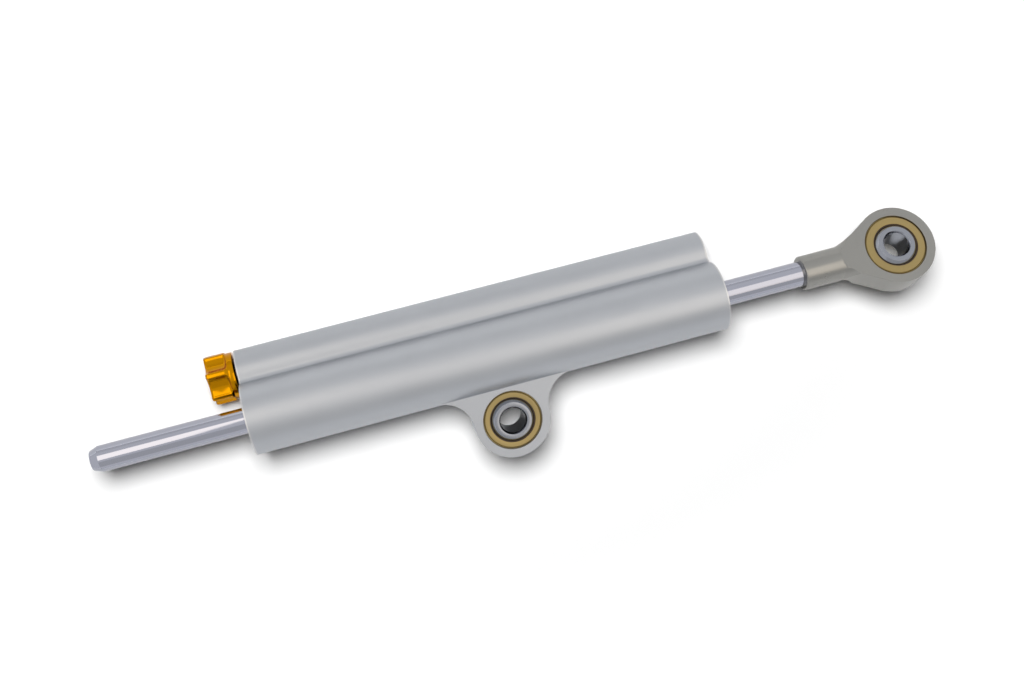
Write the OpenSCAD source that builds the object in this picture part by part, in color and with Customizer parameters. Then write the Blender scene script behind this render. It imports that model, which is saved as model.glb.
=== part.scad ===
// Motorcycle steering damper with a through rod, a side reservoir and two spherical bearings.
// Millimetres, +Z up. The origin is the centre of the bearing in the body's lug: +X runs along
// the rod towards its eye, +Z along the lug's bearing bore, +Y from the lug to the barrel.

/* [Barrel] */
// Outer diameter of the barrel
barrel_d = 22; // [21.5:0.5:24]
// Diameter of the barrel's bore
barrel_bore_d = 18; // [17.5:0.1:18.6]
// Length of the body, end face to end face
body_l = 151.5; // [148:0.5:158]
// Distance from the left end face to the lug's bearing
lug_from_left = 77.9; // [68:0.1:84]

/* [Reservoir lobe] */
// Outer diameter of the lobe beside the barrel
lobe_d = 15; // [14.6:0.1:16]
// Wall of the lobe around its wide bores
lobe_wall = 2; // [1.7:0.1:2.1]
// Distance from the barrel's axis to the lobe's axis
lobe_dist = 16.2; // [16:0.1:17.5]
// Angle of the lobe below the lug's midplane
lobe_angle = 40; // [30:1:50]
// Radius of the hollow between lobe and barrel
web_fillet = 1.8; // [1:0.1:3]
// Diameter of the long oil gallery in the lobe
gallery_d = 5; // [4:0.5:6]
// Diameter of the cross drillings between lobe and barrel
port_d = 2.2; // [1.6:0.1:2.4]

/* [Lug] */
// Wall between the lug's bearing and the barrel's surface
lug_web = 0.4; // [0.2:0.1:3]
// Wall of the lug round its bearing
lug_rim = 2.8; // [2:0.1:4]
// Thickness of the lug
lug_t = 9.6; // [9.2:0.1:12]
// Radius of the hollows that run from the lug into the barrel
lug_fillet = 10; // [6:0.5:14]
// Wall of the lug's bearing race where it is thinnest
lug_race_wall = 0.74; // [0.6:0.02:1.2]

/* [Rod eye] */
// Wall of the eye round its bearing
eye_rim = 2.9; // [2:0.1:4]
// Thickness of the eye across its flats
eye_t = 9.2; // [9.1:0.1:10]
// Wall of the eye's bearing race where it is thinnest
eye_race_wall = 1.44; // [0.6:0.02:1.6]
// Diameter of the eye's round neck
neck_d = 11; // [10:0.5:12]
// Length of the round neck ahead of the flats
neck_l = 12.9; // [11:0.1:15]
// Distance from the neck's end to the eye's bearing
eye_reach = 31.7; // [31:0.1:38]
// Angle of the eye's straight sides to the rod
eye_taper = 31; // [27:1:38]
// Radius of the hollows between the neck and the eye's straight sides
eye_fillet = 12; // [8:0.5:18]
// Radius of the hollow in which the round neck ends
shoulder_r = 5; // [3:0.5:6]
// Turn of the eye about the rod, away from the lug's plane
eye_roll = 28; // [0:1:90]

/* [Spherical bearings] */
// Bore of the balls, for the mounting bolts
ball_bore_d = 8; // [6:0.5:9]
// Sphere diameter of the balls
ball_d = 16; // [15.5:0.1:16.4]
// Width of the balls across their flat faces
ball_w = 11; // [10:0.1:12]
// Width of the races
race_w = 9; // [8:0.1:9.1]
// Thickness of the slippery liners
liner_t = 0.4; // [0.3:0.05:0.5]
// Chamfer of the ball bores
ball_chamfer = 0.35; // [0.1:0.05:0.6]

/* [Rod and piston] */
// Diameter of the chromed rod
rod_d = 8; // [7.6:0.1:8.2]
// Length of rod that shows on the left
rod_out_left = 47.6; // [46:0.1:60]
// Length of rod that shows on the right
rod_out_right = 28.1; // [24:0.1:40]
// Radial size of the chamfer on the rod's free end
tip_chamfer = 1; // [0.3:0.1:1.5]
// Axial length of that chamfer
tip_chamfer_l = 2.6; // [0.5:0.1:4]
// Diameter of the rod's threaded end in the eye
rod_thread_d = 6; // [5:0.5:6.5]
// Length of the threaded end
rod_thread_l = 11; // [8:0.5:13]
// Depth to which the rod's full diameter enters the neck
rod_entry = 1.5; // [1:0.1:3]
// Full stroke of the piston
stroke = 68; // [62:0.5:70]
// Distance that the piston can move to the left from rest
rest_to_left = 22.5; // [10:0.5:45]
// Length of the piston
piston_l = 16; // [14:0.5:18]
// Distance that stays between piston and seal head at each end
stop_gap = 1; // [0.5:0.1:1.5]
// Width of the piston ring
piston_ring_w = 3; // [2:0.1:4]
// Radial thickness of the piston ring
piston_ring_t = 1.5; // [1.2:0.1:2]
// Thickness of the snap rings on the rod
snap_ring_t = 1; // [0.8:0.1:1.2]
// Outer diameter of the snap rings on the rod
snap_ring_d = 10.8; // [10.4:0.1:11.2]

/* [Seal heads] */
// Depth of the circlip below the end face
clip_depth = 1; // [0.8:0.1:1.5]
// Thickness of the circlips
clip_t = 1.1; // [0.9:0.1:1.2]
// Depth of the circlip grooves in the wall
clip_groove = 0.6; // [0.4:0.05:0.8]
// Diameter of the wiper's pocket
wiper_d = 14; // [13:0.1:14.4]
// Length of the wiper's pocket
wiper_l = 5; // [4:0.1:6]
// Diameter of the rod seal's groove
seal_d = 13.4; // [12.5:0.1:14]
// Length of the rod seal
seal_l = 3.6; // [3:0.1:4]
// Wall of the rod bushes
bush_wall = 1; // [0.8:0.05:1.4]
// Length of the rod bushes
bush_l = 12; // [10:0.5:13]
// Diameter of the seal head's inner nose
nose_d = 14; // [13:0.1:15]
// Length of that nose
nose_l = 3; // [2.6:0.1:3.6]
// Section diameter of the O-rings round the heads
head_ring_d = 1.8; // [1.5:0.05:2]

/* [Adjuster] */
// Outer diameter of the knob
knob_d = 15.6; // [14:0.1:17]
// Length of the knob
knob_l = 8.6; // [7:0.1:11]
// Gap between the knob and the body
knob_gap = 0.7; // [0.4:0.1:1.5]
// Thickness of the knob's round flange
knob_flange_t = 1.8; // [1:0.1:3]
// Diameter of the knob's round flange
knob_flange_d = 14.6; // [13.6:0.1:15]
// Number of finger scallops on the knob
knob_scallops = 6; // [5:1:9]
// Radius of each scallop
scallop_r = 5.2; // [2.5:0.1:5.5]
// Depth of each scallop
scallop_depth = 1.8; // [0.8:0.1:2]
// Turn of the knob's scallops at rest
knob_turn = 7; // [0:1:59]
// Scallop that holds the grub screw, counted from the first
grub_scallop = 3; // [0:1:4]
// Diameter of the grub screw
grub_d = 2.5; // [2:0.1:3]
// Diameter of the spindle
spindle_d = 4; // [3.8:0.1:4.2]
// Diameter of the spindle's flange
flange_d = 8.3; // [8.1:0.1:8.4]
// Number of click positions on the flange
clicks = 18; // [12:1:22]
// Diameter of the detent ball
detent_d = 1.5; // [1.3:0.05:1.6]
// Wire diameter of the detent spring
detent_wire_d = 0.3; // [0.2:0.02:0.34]
// Diameter of the needle's threaded shank
shank_d = 2.2; // [1.8:0.1:2.4]
// Width across the flats of the needle's hexagon
hex_w = 4.4; // [4:0.1:4.5]
// Diameter of the needle's sealed stem
stem_d = 5.2; // [5.2:0.1:5.6]
// Diameter of the hole in the needle's seat
seat_hole_d = 2.6; // [2.5:0.1:3.2]
// Length of the needle's seat
seat_l = 3; // [2:0.1:4]
// Needle travel to each side of rest
needle_travel = 1; // [0.5:0.1:1]

/* [Reservoir] */
// Length of the separating piston
separator_l = 6; // [5:0.1:7]
// Separating piston's travel to each side of rest
separator_travel = 3; // [1:0.1:3.5]
// Length of the end plug
end_plug_l = 5.4; // [4.8:0.1:6]
// Wire diameter of the reservoir spring
wire_d = 1.1; // [0.8:0.1:1.2]
// Number of curls of the reservoir spring
spring_curls = 4; // [3:1:4]
// Distance of the bleed screw to the right of the lug's bearing
bleed_x = 18; // [5:1:26]
// Diameter of the bleed screw's thread
bleed_d = 3; // [2.5:0.1:3.5]
// Diameter of the bleed screw's head
bleed_head_d = 5.2; // [4.6:0.1:5.6]

/* [Hidden] */
$fn = 96;

// Radial play of parts that are pressed or screwed home, and of parts that slide or turn
seat_gap = 0.01;
run_gap = 0.03;
// Play along the axis between neighbours
end_gap = 0.05;
// Hair that keeps a rounded hollow from just touching the cylinders it blends
ease = 0.02;
// Overshoot of every cut past the face that it opens
over = 0.5;
// Wall between a cross drilling and the parts on each side of it
drill_wall = 0.7;

rod_r = rod_d / 2;
barrel_r = barrel_d / 2;
bore_r = barrel_bore_d / 2;
// Radius of the hollow in the races, and the races and rims that are built up from it
socket_r = ball_d / 2 + liner_t + 2 * run_gap;
lug_race_d = 2 * (socket_r + lug_race_wall);
eye_race_d = 2 * (socket_r + eye_race_wall);
lug_d = lug_race_d + 2 * lug_rim;
eye_d = eye_race_d + 2 * eye_rim;
lug_offset = barrel_r + lug_web + lug_race_d / 2;
lobe_r = lobe_d / 2;
lobe_bore_r = lobe_r - lobe_wall;
left_x = -lug_from_left;
right_x = body_l - lug_from_left;
lobe_y = lug_offset + lobe_dist * cos(lobe_angle);
lobe_z = -lobe_dist * sin(lobe_angle);

// Depth of the seal heads' inner ends, which leaves the piston its stroke
head_end = (body_l - stroke - piston_l - 2 * stop_gap) / 2;
head_start = clip_depth + clip_t + end_gap;
piston_x = left_x + head_end + stop_gap + rest_to_left + piston_l / 2;
// Depth of the cross drillings, which meet the space round each head's nose
port_depth = head_end - nose_l / 2;

neck_x = right_x + rod_out_right;
eye_x = neck_x + eye_reach;
rod_tip_x = left_x - rod_out_left;

// Depths along the adjuster, from the body's left end face
housing_end = port_depth - port_d / 2 - drill_wall;
seat_start = port_depth + port_d / 2 + drill_wall;
stem_bore_l = 8;
hex_hole_l = 8;
chamber_l = 6.9;
hex_start = housing_end - stem_bore_l - hex_hole_l;
small_clip_depth = 1.9;
small_clip_t = 0.9;
flange_start = small_clip_depth + small_clip_t + end_gap;

// Depths along the reservoir, from the body's right end face
reservoir_end = port_depth - port_d / 2 - drill_wall;
plug_start = clip_depth + small_clip_t + end_gap;
plug_end = plug_start + end_plug_l;
separator_end = reservoir_end - separator_travel - stop_gap / 2;
separator_start = separator_end - separator_l;

// Cylinder along X from a to b
module bar(r, a, b) {
    translate([a, 0, 0]) rotate([0, 90, 0]) cylinder(r = r, h = b - a);
}

// Ring along X from a to b
module tube(outer, inner, a, b) {
    difference() {
        bar(outer, a, b);
        bar(inner, a - over, b + over);
    }
}

// Solid turned about X, from points of [radius, x]
module turned(points) {
    rotate([0, 90, 0]) rotate_extrude() polygon(points);
}

// Groove for an O-ring, cut inwards from a radius
module ring_groove(r, depth, x) {
    tube(r + over, r - depth, x - 0.7 * depth, x + 0.7 * depth);
}

// O-ring of round section that fills the space between two radii
module o_ring(inner, outer, x, play = seat_gap) {
    section = (outer - inner) / 2 - play;
    translate([x, 0, 0]) rotate([0, 90, 0]) rotate_extrude()
        translate([(inner + outer) / 2, 0]) circle(r = section, $fn = 32);
}

// Internal circlip from a to a + t: a ring with a mouth between two eared ends
module circlip(outer, width, a, t, ear = 1.25, spread = 20) {
    mid = outer - width;
    mouth = outer * 0.24;
    translate([a, 0, 0]) rotate([90, 0, 90]) linear_extrude(t) difference() {
        union() {
            difference() {
                circle(r = outer);
                circle(r = mid);
            }
            for (side = [-1, 1])
                rotate(side * spread) translate([0, -(mid - ear * 0.5)]) circle(r = ear);
        }
        for (side = [-1, 1])
            rotate(side * spread) translate([0, -(mid - ear * 0.5)]) circle(r = ear * 0.4);
        translate([-mouth / 2, -outer - over]) square([mouth, outer]);
    }
}

// Wound wire spring along X from a to b, as one closed tube of hexagonal section
module spring(coil_r, wire_r, a, b, curls) {
    rings = 8 * curls;
    pitch = (b - a - 2 * wire_r) / curls;
    function centre(i) = [
        a + wire_r + pitch * i / 8, coil_r * cos(45 * i), coil_r * sin(45 * i)
    ];
    function ring(i) = [
        for (k = [0:5])
            centre(i) + wire_r * [
                cos(60 * k),
                sin(60 * k) * cos(45 * i),
                sin(60 * k) * sin(45 * i)
            ]
    ];
    points = [for (i = [0:rings]) each ring(i)];
    sides = [
        for (i = [0:rings - 1]) for (k = [0:5])
            let (p = 6 * i + k, q = 6 * i + (k + 1) % 6)
            each [[p, q, q + 6], [p, q + 6, p + 6]]
    ];
    first = [for (k = [1:4]) [0, k + 1, k]];
    last = [for (k = [1:4]) [6 * rings, 6 * rings + k, 6 * rings + k + 1]];
    between_curls = [
        for (i = [0:rings - 6]) for (j = [i + 6:min(i + 10, rings)])
            for (p = ring(i)) for (q = ring(j)) norm(p - q)
    ];
    echo(str("least gap between two curls, in mm: ", min(between_curls)));
    polyhedron(points = points, faces = concat(sides, first, last), convexity = 6);
}

module on_barrel() {
    translate([0, lug_offset, 0]) children();
}

module on_lobe() {
    translate([0, lobe_y, lobe_z]) children();
}

// Places a part by its depth from the left or the right end face
module from_left() {
    translate([left_x, 0, 0]) children();
}

module from_right() {
    translate([right_x, 0, 0]) mirror([1, 0, 0]) children();
}

// Turns +Z outwards, from the barrel through the lobe, at the lobe's axis
module lobe_outwards(x) {
    translate([x, lobe_y, lobe_z]) rotate([-(90 + lobe_angle), 0, 0]) children();
}

module in_eye() {
    translate([eye_x, lug_offset, 0]) rotate([-eye_roll, 0, 0]) children();
}

// Hollowed web between barrel and lobe
module web() {
    reach_barrel = barrel_r + web_fillet;
    reach_lobe = lobe_r + web_fillet;
    along = (pow(reach_barrel, 2) - pow(reach_lobe, 2) + pow(lobe_dist, 2)) / (2 * lobe_dist);
    aside = sqrt(pow(reach_barrel, 2) - pow(along, 2));
    translate([left_x, lug_offset, 0]) rotate([90, 0, 90]) linear_extrude(body_l)
        rotate(-lobe_angle) difference() {
            polygon([[0, 0], [along, -aside], [lobe_dist, 0], [along, aside]]);
            for (side = [-1, 1]) translate([along, side * aside]) circle(r = web_fillet - ease);
        }
}

// Plate of the lug, hollowed into the barrel on both sides
module lug_plate() {
    tangent_y = lug_offset - sqrt(pow(barrel_r, 2) - pow(lug_t / 2, 2));
    hollow_y = tangent_y - lug_fillet;
    hollow_x = sqrt(pow(lug_d / 2 + lug_fillet, 2) - pow(hollow_y, 2));
    translate([0, 0, -lug_t / 2]) linear_extrude(lug_t) union() {
        circle(d = lug_d);
        difference() {
            polygon([
                [0, 0], [hollow_x, hollow_y], [hollow_x, lug_offset],
                [-hollow_x, lug_offset], [-hollow_x, hollow_y]
            ]);
            for (side = [-1, 1])
                translate([side * hollow_x, hollow_y]) circle(r = lug_fillet - ease);
        }
    }
}

// Circlip groove near one end of the barrel's bore
module barrel_groove() {
    bar(bore_r + clip_groove, clip_depth, clip_depth + clip_t + end_gap);
}

module damper_body() color([0.67, 0.69, 0.71]) difference() {
    union() {
        on_barrel() bar(barrel_r, left_x, right_x);
        on_lobe() bar(lobe_r, left_x, right_x);
        web();
        lug_plate();
    }
    on_barrel() bar(bore_r, left_x - over, right_x + over);
    on_barrel() from_left() barrel_groove();
    on_barrel() from_right() barrel_groove();
    translate([0, 0, -lug_t / 2 - over]) cylinder(d = lug_race_d, h = lug_t + 2 * over);
    on_lobe() from_left() bar(lobe_bore_r, -over, seat_start + seat_l);
    on_lobe() bar(gallery_d / 2, left_x + seat_start, right_x - reservoir_end + over);
    on_lobe() from_right() {
        bar(lobe_bore_r, -over, reservoir_end);
        bar(lobe_bore_r + clip_groove, clip_depth, plug_start);
    }
    for (x = [left_x + port_depth, right_x - port_depth]) lobe_outwards(x) {
        translate([0, 0, bore_r - lobe_dist - over]) cylinder(d = port_d, h = lobe_dist - bore_r + over);
        cylinder(r = plug_r, h = lobe_r + over);
    }
    lobe_outwards(bleed_x) {
        cylinder(d = bleed_d, h = lobe_r);
        translate([0, 0, bleed_seat]) cylinder(d = bleed_head_d + 2 * sink_gap, h = lobe_r);
    }
}

// Seal head, with its wiper pocket outwards and its bush and nose inwards
pocket_wall = 1.5;
seal_start = head_start + wiper_l + pocket_wall;
head_ring_x = seal_start + seal_l + head_ring_d;
head_bore_gap = 0.3;
module seal_head() {
    difference() {
        union() {
            bar(bore_r - seat_gap, head_start, head_end - nose_l);
            bar(nose_d / 2, head_end - nose_l - over, head_end);
        }
        bar(rod_r + head_bore_gap, head_start - over, head_end + over);
        bar(wiper_d / 2, head_start - over, head_start + wiper_l);
        bar(seal_d / 2, seal_start, seal_start + seal_l);
        bar(rod_r + bush_wall + 2 * run_gap, head_end - bush_l, head_end + over);
        ring_groove(bore_r, head_ring_d, head_ring_x);
    }
}

module left_seal_head() color([0.45, 0.46, 0.48]) on_barrel() from_left() seal_head();
module right_seal_head() color([0.45, 0.46, 0.48]) on_barrel() from_right() seal_head();

module rod_bush() {
    tube(rod_r + run_gap + bush_wall, rod_r + run_gap, head_end - bush_l + end_gap, head_end);
}

module left_rod_bush() color([0.55, 0.45, 0.3]) on_barrel() from_left() rod_bush();
module right_rod_bush() color([0.55, 0.45, 0.3]) on_barrel() from_right() rod_bush();

// Cup seal with its open side towards the oil
seal_lip = 0.55;
module rod_seal() {
    a = seal_start + end_gap;
    b = seal_start + seal_l - end_gap;
    inner = rod_r + run_gap;
    outer = seal_d / 2 - seat_gap;
    mid = (inner + outer) / 2;
    turned([
        [inner, a], [outer, a], [outer, b], [mid + seal_lip, b], [mid, b - 0.4 * seal_l],
        [mid - seal_lip, b], [inner, b]
    ]);
}

module left_rod_seal() color([0.15, 0.3, 0.22]) on_barrel() from_left() rod_seal();
module right_rod_seal() color([0.15, 0.3, 0.22]) on_barrel() from_right() rod_seal();

// Wiper with a lip that reaches out past the head
lip_t = 0.5;
module wiper() {
    inner = rod_r + run_gap;
    outer = wiper_d / 2 - seat_gap;
    lip = 0.6 * clip_depth;
    back = head_start + wiper_l - end_gap;
    turned([
        [inner, lip], [inner + lip_t, lip], [inner + 2 * lip_t, head_start + 2 * lip_t],
        [outer, head_start], [outer, back], [inner + lip_t, back],
        [inner + lip_t, head_start + 4 * lip_t], [inner, head_start + 2 * lip_t]
    ]);
}

module left_wiper() color([0.08, 0.08, 0.08]) on_barrel() from_left() wiper();
module right_wiper() color([0.08, 0.08, 0.08]) on_barrel() from_right() wiper();

module head_o_rings() color([0.06, 0.06, 0.06]) on_barrel() {
    from_left() o_ring(bore_r - head_ring_d, bore_r, head_ring_x);
    from_right() o_ring(bore_r - head_ring_d, bore_r, head_ring_x);
}

clip_w = 1.9;
module head_circlip() {
    circlip(bore_r + clip_groove - seat_gap, clip_w, clip_depth + end_gap / 2, clip_t);
}

module head_circlips() color([0.2, 0.2, 0.21]) on_barrel() {
    from_left() head_circlip();
    from_right() head_circlip();
}

// Parts of a spherical bearing, centred on the ball, with the bore along Z
liner_inset = 0.3;
module race(outer_d) {
    difference() {
        translate([0, 0, -race_w / 2]) cylinder(r = outer_d / 2 - seat_gap, h = race_w);
        sphere(r = socket_r);
    }
}

module liner() {
    difference() {
        intersection() {
            sphere(r = ball_d / 2 + liner_t + run_gap);
            cube([ball_d * 2, ball_d * 2, race_w - 2 * liner_inset], center = true);
        }
        sphere(r = ball_d / 2 + run_gap);
    }
}

module ball() {
    difference() {
        intersection() {
            sphere(d = ball_d);
            cube([ball_d * 2, ball_d * 2, ball_w], center = true);
        }
        cylinder(d = ball_bore_d, h = ball_w + 2 * over, center = true);
        for (side = [0, 1]) mirror([0, 0, side]) translate([0, 0, ball_w / 2 - ball_chamfer])
            cylinder(d1 = ball_bore_d, d2 = ball_bore_d + 4 * ball_chamfer, h = 2 * ball_chamfer);
    }
}

module lug_bearing_race() color([0.66, 0.54, 0.3]) race(lug_race_d);
module lug_bearing_liner() color([0.2, 0.15, 0.1]) liner();
module lug_bearing_ball() color([0.72, 0.73, 0.78]) ball();
module eye_bearing_race() color([0.66, 0.54, 0.3]) in_eye() race(eye_race_d);
module eye_bearing_liner() color([0.2, 0.15, 0.1]) in_eye() liner();
module eye_bearing_ball() color([0.72, 0.73, 0.78]) in_eye() ball();

// Adjuster: a fixed housing, a turning spindle and a needle that a hexagon keeps from turning
chamber_r = flange_d / 2 + 0.1;
chamber_groove = 0.6;
spindle_r = spindle_d / 2;
spindle_ring_x = (chamber_l + hex_start) / 2;
housing_ring = 1.3;
housing_ring_x = hex_start + 2;
detent_r = (flange_d / 2 + spindle_r) / 2 + 0.15;
detent_depth = 5;
// Depth of the spindle's threaded hole below the end face
spindle_hole = 1.5;
click_r = 0.3;
click_depth = 0.2;
// Depth of the spindle's outer end below the knob's face
spindle_inset = 2;
stem_bore_r = stem_d / 2 + run_gap;
small_ring = 0.65;

module adjuster_housing() color([0.5, 0.51, 0.53]) on_lobe() from_left() difference() {
    bar(lobe_bore_r - seat_gap, 0, housing_end);
    bar(chamber_r, -over, chamber_l);
    bar(chamber_r + chamber_groove, small_clip_depth, flange_start);
    bar(spindle_r + run_gap, 0, hex_start + over);
    bar(stem_bore_r, housing_end - stem_bore_l, housing_end + over);
    translate([hex_start, 0, 0]) rotate([0, 90, 0])
        cylinder(r = (hex_w / 2 + run_gap) / cos(30), h = hex_hole_l + over, $fn = 6);
    translate([0, 0, detent_r]) bar(detent_d / 2 + run_gap, chamber_l - over, chamber_l + detent_depth);
    ring_groove(lobe_bore_r, housing_ring, housing_ring_x);
}

module housing_o_ring() color([0.06, 0.06, 0.06]) on_lobe() from_left()
    o_ring(lobe_bore_r - housing_ring, lobe_bore_r, housing_ring_x);

module adjuster_circlip() color([0.2, 0.2, 0.21]) on_lobe() from_left()
    circlip(chamber_r + chamber_groove - seat_gap, 1.3, small_clip_depth + end_gap / 2,
        small_clip_t, ear = 0.7, spread = 28);

module adjuster_spindle() color([0.6, 0.6, 0.62]) on_lobe() from_left() difference() {
    union() {
        bar(spindle_r, -(knob_gap + knob_l - spindle_inset), hex_start - end_gap);
        bar(flange_d / 2, flange_start, chamber_l - end_gap);
    }
    bar(shank_d / 2 + run_gap, spindle_hole, hex_start + over);
    ring_groove(spindle_r, small_ring, spindle_ring_x);
    for (i = [0:clicks - 1]) rotate([360 * i / clicks, 0, 0]) translate([0, 0, detent_r])
        bar(click_r, chamber_l - end_gap - click_depth, chamber_l + over);
}

module spindle_o_ring() color([0.06, 0.06, 0.06]) on_lobe() from_left()
    o_ring(spindle_r - small_ring, spindle_r + run_gap, spindle_ring_x, run_gap);

// Knob with finger scallops that run out against a round flange
core_r = knob_d / 2 - scallop_depth;
face_rim = 1.4;
module adjuster_knob() color([0.85, 0.55, 0.05]) on_lobe() from_left() {
    front = -(knob_gap + knob_l);
    back = -knob_gap;
    difference() {
        union() {
            bar(knob_d / 2, front, back - knob_flange_t);
            bar(knob_flange_d / 2, front, back);
        }
        for (i = [0:knob_scallops - 1])
            rotate([knob_turn + 360 * i / knob_scallops, 0, 0])
                translate([0, 0, core_r + scallop_r])
                    bar(scallop_r, front - over, back - knob_flange_t);
        bar(core_r - face_rim, front - over, front + face_sink);
        bar(spindle_r + seat_gap, front - over, back + over);
        in_grub_scallop() cylinder(d = grub_d, h = knob_d);
    }
}

face_sink = 1;
grub_l = core_r - spindle_r - 0.3;
grub_hex_w = 1.3;
module in_grub_scallop() {
    translate([-(knob_gap + knob_l / 2), 0, 0])
        rotate([knob_turn + 360 * grub_scallop / knob_scallops, 0, 0])
            translate([0, 0, spindle_r]) children();
}

module knob_grub_screw() color([0.15, 0.15, 0.16]) on_lobe() from_left() in_grub_scallop()
    difference() {
        translate([0, 0, seat_gap]) cylinder(r = grub_d / 2 - seat_gap, h = grub_l);
        translate([0, 0, grub_l - grub_hex_w])
            cylinder(r = grub_hex_w / 2 / cos(30), h = grub_l, $fn = 6);
    }

detent_start = chamber_l - end_gap + seat_gap;
detent_wire_r = detent_wire_d / 2;
detent_coil_r = detent_d / 2 - detent_wire_r - 0.1;
module detent_ball() color([0.72, 0.73, 0.78]) on_lobe() from_left()
    translate([detent_start + detent_d / 2, 0, detent_r]) sphere(d = detent_d);

// Where the spring's first curl bears on the ball
detent_bearing = detent_start + detent_d / 2 - detent_wire_r
    + sqrt(pow(detent_d / 2 + detent_wire_r + seat_gap, 2) - pow(detent_coil_r, 2));
detent_curls = 4;
module detent_spring() color([0.5, 0.5, 0.52]) on_lobe() from_left() translate([0, 0, detent_r])
    spring(detent_coil_r, detent_wire_r, detent_bearing, chamber_l + detent_depth - seat_gap,
        detent_curls);

// Needle, with room for its travel at both ends of its stem and of its hexagon
needle_room = needle_travel + 0.1;
stem_start = housing_end - stem_bore_l + needle_room + end_gap;
stem_end = housing_end - 0.9;
needle_ring_x = (stem_start + stem_end) / 2;
neck_r = hex_w / 2 - 0.4;
cone_r = 1.9;
cone_tip_r = seat_hole_d / 2 - 0.7;
cone_end = seat_start + needle_travel + 0.9;
module adjuster_needle() color([0.7, 0.7, 0.72]) on_lobe() from_left() difference() {
    union() {
        bar(shank_d / 2, spindle_hole + needle_room + over, hex_start + 2 * needle_room);
        translate([hex_start + needle_room, 0, 0]) rotate([0, 90, 0])
            cylinder(r = hex_w / 2 / cos(30), h = hex_hole_l - 2 * needle_room, $fn = 6);
        bar(neck_r, hex_start + 2 * needle_room, stem_start + over);
        bar(stem_d / 2, stem_start, stem_end);
        turned([
            [0, stem_end - over], [cone_r, stem_end - over], [cone_r, stem_end],
            [cone_tip_r, cone_end], [0, cone_end]
        ]);
    }
    ring_groove(stem_d / 2, small_ring, needle_ring_x);
}

module needle_o_ring() color([0.06, 0.06, 0.06]) on_lobe() from_left()
    o_ring(stem_d / 2 - small_ring, stem_bore_r, needle_ring_x, run_gap);

module needle_seat() color([0.7, 0.6, 0.35]) on_lobe() from_left() difference() {
    bar(lobe_bore_r - seat_gap, seat_start, seat_start + seat_l - end_gap);
    bar(seat_hole_d / 2, seat_start - over, seat_start + seat_l + over);
}

// Plugs that close the outer ends of the cross drillings
plug_r = 1.3;
plug_l = 1.6;
module passage_plugs() color([0.72, 0.73, 0.78])
    for (x = [left_x + port_depth, right_x - port_depth]) lobe_outwards(x)
        translate([0, 0, lobe_r - 0.3 - plug_l]) cylinder(r = plug_r - seat_gap, h = plug_l);

// Bleed screw, its head sunk in the lobe on a sealing washer
bleed_seat = lobe_r - 2.4;
sink_gap = 0.4;
washer_t = 0.5;
bleed_head_l = 1.5;
bleed_hex_w = 2.2;
module bleed_screw() color([0.3, 0.3, 0.32]) lobe_outwards(bleed_x) difference() {
    union() {
        translate([0, 0, gallery_d / 2])
            cylinder(d = bleed_d - 2 * seat_gap, h = bleed_seat + washer_t + over - gallery_d / 2);
        translate([0, 0, bleed_seat + washer_t]) cylinder(d = bleed_head_d, h = bleed_head_l);
    }
    translate([0, 0, bleed_seat + washer_t + 0.3 * bleed_head_l])
        cylinder(r = bleed_hex_w / 2 / cos(30), h = bleed_head_l, $fn = 6);
}

module bleed_washer() color([0.7, 0.4, 0.25]) lobe_outwards(bleed_x) difference() {
    translate([0, 0, bleed_seat]) cylinder(d = bleed_head_d + sink_gap, h = washer_t);
    cylinder(d = bleed_d + 2 * seat_gap, h = lobe_r);
}

separator_ring_x = (separator_start + separator_end) / 2;
ring_depth = 1.3;
dish_depth = 1.4;
dish_rim = 2.2;
module separating_piston() color([0.6, 0.6, 0.62]) on_lobe() from_right() difference() {
    bar(lobe_bore_r - run_gap, separator_start, separator_end);
    bar(lobe_bore_r - dish_rim, separator_start - over, separator_start + dish_depth);
    ring_groove(lobe_bore_r, ring_depth, separator_ring_x);
}

module separator_o_ring() color([0.06, 0.06, 0.06]) on_lobe() from_right()
    o_ring(lobe_bore_r - ring_depth, lobe_bore_r, separator_ring_x, run_gap);

// Spring that bears on both rims, clear of the bore's wall
module reservoir_spring() color([0.5, 0.5, 0.52]) on_lobe() from_right()
    spring(lobe_bore_r - dish_rim / 2 - 0.2, wire_d / 2, plug_end + seat_gap, separator_start - seat_gap,
        spring_curls);

plug_ring_x = plug_end - 2;
vent_r = 0.5;
module reservoir_end_plug() color([0.5, 0.51, 0.53]) on_lobe() from_right() difference() {
    bar(lobe_bore_r - seat_gap, plug_start, plug_end);
    bar(lobe_bore_r - dish_rim, plug_start - over, plug_start + dish_depth);
    bar(vent_r, plug_start, plug_end + over);
    ring_groove(lobe_bore_r, ring_depth, plug_ring_x);
}

module end_plug_o_ring() color([0.06, 0.06, 0.06]) on_lobe() from_right()
    o_ring(lobe_bore_r - ring_depth, lobe_bore_r, plug_ring_x);

module reservoir_circlip() color([0.2, 0.2, 0.21]) on_lobe() from_right()
    circlip(lobe_bore_r + clip_groove - seat_gap, 1.5, clip_depth + end_gap / 2, small_clip_t,
        ear = 0.9, spread = 24);

// Piston, held on the rod between two snap rings that sit in its face recesses
snap_recess = snap_ring_t + 0.4;
piston_gap = 0.1;
inner_ring = 1.2;
inner_ring_x = piston_ring_w / 2 + 1.4;
module piston() color([0.6, 0.62, 0.65]) on_barrel() translate([piston_x, 0, 0]) difference() {
    bar(bore_r - piston_gap, -piston_l / 2, piston_l / 2);
    bar(rod_r + run_gap, -piston_l, piston_l);
    for (side = [0, 1]) mirror([side, 0, 0])
        bar(snap_ring_d / 2 + 10 * run_gap, piston_l / 2 - snap_recess, piston_l / 2 + over);
    tube(bore_r + over, bore_r - piston_ring_t, -piston_ring_w / 2, piston_ring_w / 2);
    bar(rod_r + inner_ring, inner_ring_x - 0.7 * inner_ring, inner_ring_x + 0.7 * inner_ring);
}

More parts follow.
